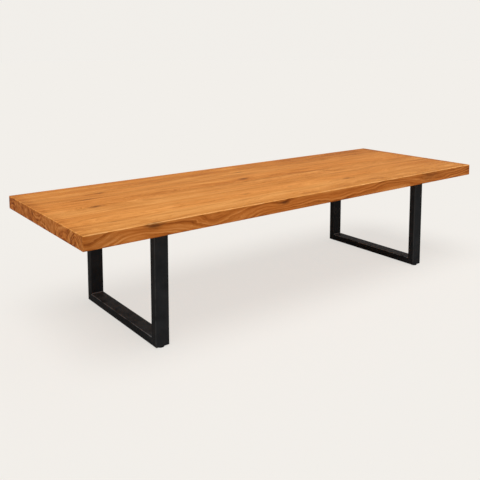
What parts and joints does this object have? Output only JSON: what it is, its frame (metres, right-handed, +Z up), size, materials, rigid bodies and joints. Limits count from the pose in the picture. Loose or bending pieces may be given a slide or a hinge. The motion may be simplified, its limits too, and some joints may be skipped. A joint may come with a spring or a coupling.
{
  "type": "refectory table",
  "caption": "Long refectory table with a thick plank top on two black mitred box-section steel leg frames with screw-adjustable levelling feet.",
  "frame": {"origin": "on the floor, under the middle of the top", "axes": "+X along the table's length, +Y across it towards the back, +Z up"},
  "size_m": [3.3, 1.12, 0.76],
  "materials": {
    "oiled_wood": "oiled, satin, warm amber brown with knots",
    "tongue_wood": "plain sawn birch ply",
    "black_steel": "black powder coat, satin, fine texture",
    "zinc_steel": "bright zinc plate",
    "foot_plastic": "black moulded nylon"
  },
  "bodies": {
    "table": {"top_board_1": "oiled_wood", "top_board_2": "oiled_wood", "top_board_3": "oiled_wood", "top_board_4": "oiled_wood", "top_board_5": "oiled_wood", "top_board_6": "oiled_wood", "loose_tongue_1": "tongue_wood", "loose_tongue_2": "tongue_wood", "loose_tongue_3": "tongue_wood", "loose_tongue_4": "tongue_wood", "loose_tongue_5": "tongue_wood", "left_stiffener": "black_steel", "middle_stiffener": "black_steel", "right_stiffener": "black_steel", "left_stiffener_screws": "zinc_steel", "middle_stiffener_screws": "zinc_steel", "right_stiffener_screws": "zinc_steel", "left_front_post": "black_steel", "left_back_post": "black_steel", "right_front_post": "black_steel", "right_back_post": "black_steel", "left_foot_rail": "black_steel", "right_foot_rail": "black_steel", "left_top_plate": "black_steel", "right_top_plate": "black_steel", "left_plate_bolts": "zinc_steel", "right_plate_bolts": "zinc_steel", "left_plate_washers": "zinc_steel", "right_plate_washers": "zinc_steel", "left_plate_inserts": "zinc_steel", "right_plate_inserts": "zinc_steel", "left_front_foot_nut": "zinc_steel", "left_back_foot_nut": "zinc_steel", "right_front_foot_nut": "zinc_steel", "right_back_foot_nut": "zinc_steel"},
    "left_front_foot_pad": {"left_front_foot_pad": "foot_plastic"},
    "left_front_foot_stud": {"left_front_foot_stud": "zinc_steel"},
    "left_back_foot_pad": {"left_back_foot_pad": "foot_plastic"},
    "left_back_foot_stud": {"left_back_foot_stud": "zinc_steel"},
    "right_front_foot_pad": {"right_front_foot_pad": "foot_plastic"},
    "right_front_foot_stud": {"right_front_foot_stud": "zinc_steel"},
    "right_back_foot_pad": {"right_back_foot_pad": "foot_plastic"},
    "right_back_foot_stud": {"right_back_foot_stud": "zinc_steel"}
  },
  "joints": [
    {"name": "left_front_foot_height", "type": "slide", "parent": "table", "child": "left_front_foot_pad", "axis": [0, 0, -1], "range_m": [0, 0.012]},
    {"name": "left_front_foot_turn", "type": "hinge", "parent": "left_front_foot_pad", "child": "left_front_foot_stud", "pos_m": [-1.145, -0.425, 0], "axis": [0, 0, -1], "range_deg": [0, 2880]},
    {"name": "left_back_foot_height", "type": "slide", "parent": "table", "child": "left_back_foot_pad", "axis": [0, 0, -1], "range_m": [0, 0.012]},
    {"name": "left_back_foot_turn", "type": "hinge", "parent": "left_back_foot_pad", "child": "left_back_foot_stud", "pos_m": [-1.145, 0.425, 0], "axis": [0, 0, -1], "range_deg": [0, 2880]},
    {"name": "right_front_foot_height", "type": "slide", "parent": "table", "child": "right_front_foot_pad", "axis": [0, 0, -1], "range_m": [0, 0.012]},
    {"name": "right_front_foot_turn", "type": "hinge", "parent": "right_front_foot_pad", "child": "right_front_foot_stud", "pos_m": [1.145, -0.425, 0], "axis": [0, 0, -1], "range_deg": [0, 2880]},
    {"name": "right_back_foot_height", "type": "slide", "parent": "table", "child": "right_back_foot_pad", "axis": [0, 0, -1], "range_m": [0, 0.012]},
    {"name": "right_back_foot_turn", "type": "hinge", "parent": "right_back_foot_pad", "child": "right_back_foot_stud", "pos_m": [1.145, 0.425, 0], "axis": [0, 0, -1], "range_deg": [0, 2880]}
  ],
  "couplings": [
    {"joint": "left_front_foot_turn", "follows": "left_front_foot_height", "rad_per_m": 4188.8},
    {"joint": "left_back_foot_turn", "follows": "left_back_foot_height", "rad_per_m": 4188.8},
    {"joint": "right_front_foot_turn", "follows": "right_front_foot_height", "rad_per_m": 4188.8},
    {"joint": "right_back_foot_turn", "follows": "right_back_foot_height", "rad_per_m": 4188.8}
  ]
}
